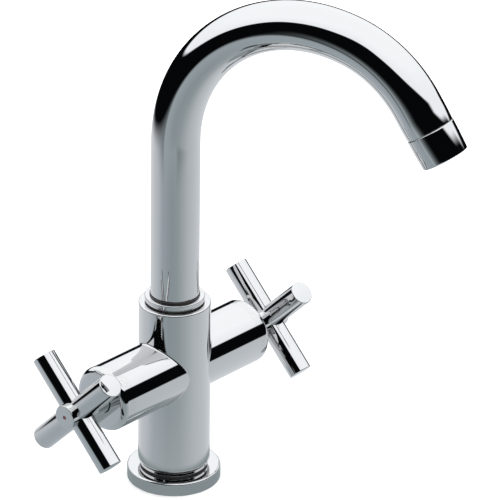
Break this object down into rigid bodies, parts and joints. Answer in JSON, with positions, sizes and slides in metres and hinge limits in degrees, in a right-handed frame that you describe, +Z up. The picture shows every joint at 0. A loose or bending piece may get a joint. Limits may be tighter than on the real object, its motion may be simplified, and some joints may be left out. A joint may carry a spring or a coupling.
{
  "type": "bathroom mixer faucet",
  "caption": "Chrome two-handle basin mixer with a round column, a high swan-neck swivel spout, side valves and cross handles.",
  "frame": {"origin": "centre of the base's underside, on the column's centre line", "axes": "+Z up along the column, the user stands on the -Y side, the hot valve points to -X and the cold valve to +X"},
  "size_m": [0.1736, 0.2019, 0.3048],
  "materials": {
    "chrome": "polished chrome plate on brass",
    "brass": "machined brass",
    "steel": "stainless steel",
    "rubber": "black seal rubber",
    "ceramic": "lapped ceramic",
    "white_plastic": "moulded plastic",
    "dark_plastic": "moulded glide plastic",
    "hot_red": "glossy red",
    "cold_blue": "glossy blue"
  },
  "bodies": {
    "body": {"body_casting": "chrome", "base_flange": "chrome", "base_seal": "rubber", "spout_collar_nut": "chrome", "spout_glide_bush": "dark_plastic", "spout_retaining_ring": "steel", "hot_end_cap": "chrome", "hot_headwork_body": "brass", "hot_headwork_o_ring": "rubber", "hot_seat_seal": "rubber", "hot_fixed_disc": "ceramic", "cold_end_cap": "chrome", "cold_headwork_body": "brass", "cold_headwork_o_ring": "rubber", "cold_seat_seal": "rubber", "cold_fixed_disc": "ceramic"},
    "spout": {"spout_tube": "chrome", "spout_spigot": "brass", "spout_o_ring_lower": "rubber", "spout_o_ring_upper": "rubber", "aerator_housing": "chrome", "aerator_insert": "white_plastic", "aerator_screen": "steel", "aerator_washer": "rubber"},
    "hot_handle": {"hot_moving_disc": "ceramic", "hot_spindle": "brass", "hot_spindle_o_ring": "rubber", "hot_spindle_clip": "steel", "hot_cross_handle": "chrome", "hot_grub_screw": "steel", "hot_index_plug": "hot_red"},
    "cold_handle": {"cold_moving_disc": "ceramic", "cold_spindle": "brass", "cold_spindle_o_ring": "rubber", "cold_spindle_clip": "steel", "cold_cross_handle": "chrome", "cold_grub_screw": "steel", "cold_index_plug": "cold_blue"}
  },
  "joints": [
    {"name": "spout_swivel", "type": "hinge", "parent": "body", "child": "spout", "pos_m": [0, 0, 0.11], "axis": [0, 0, 1], "range_deg": [-87, 63]},
    {"name": "hot_handle_turn", "type": "hinge", "parent": "body", "child": "hot_handle", "pos_m": [-0.077, 0, 0.069], "axis": [1, 0, 0], "range_deg": [0, 90]},
    {"name": "cold_handle_turn", "type": "hinge", "parent": "body", "child": "cold_handle", "pos_m": [0.077, 0, 0.069], "axis": [1, 0, 0], "range_deg": [0, 90]}
  ]
}
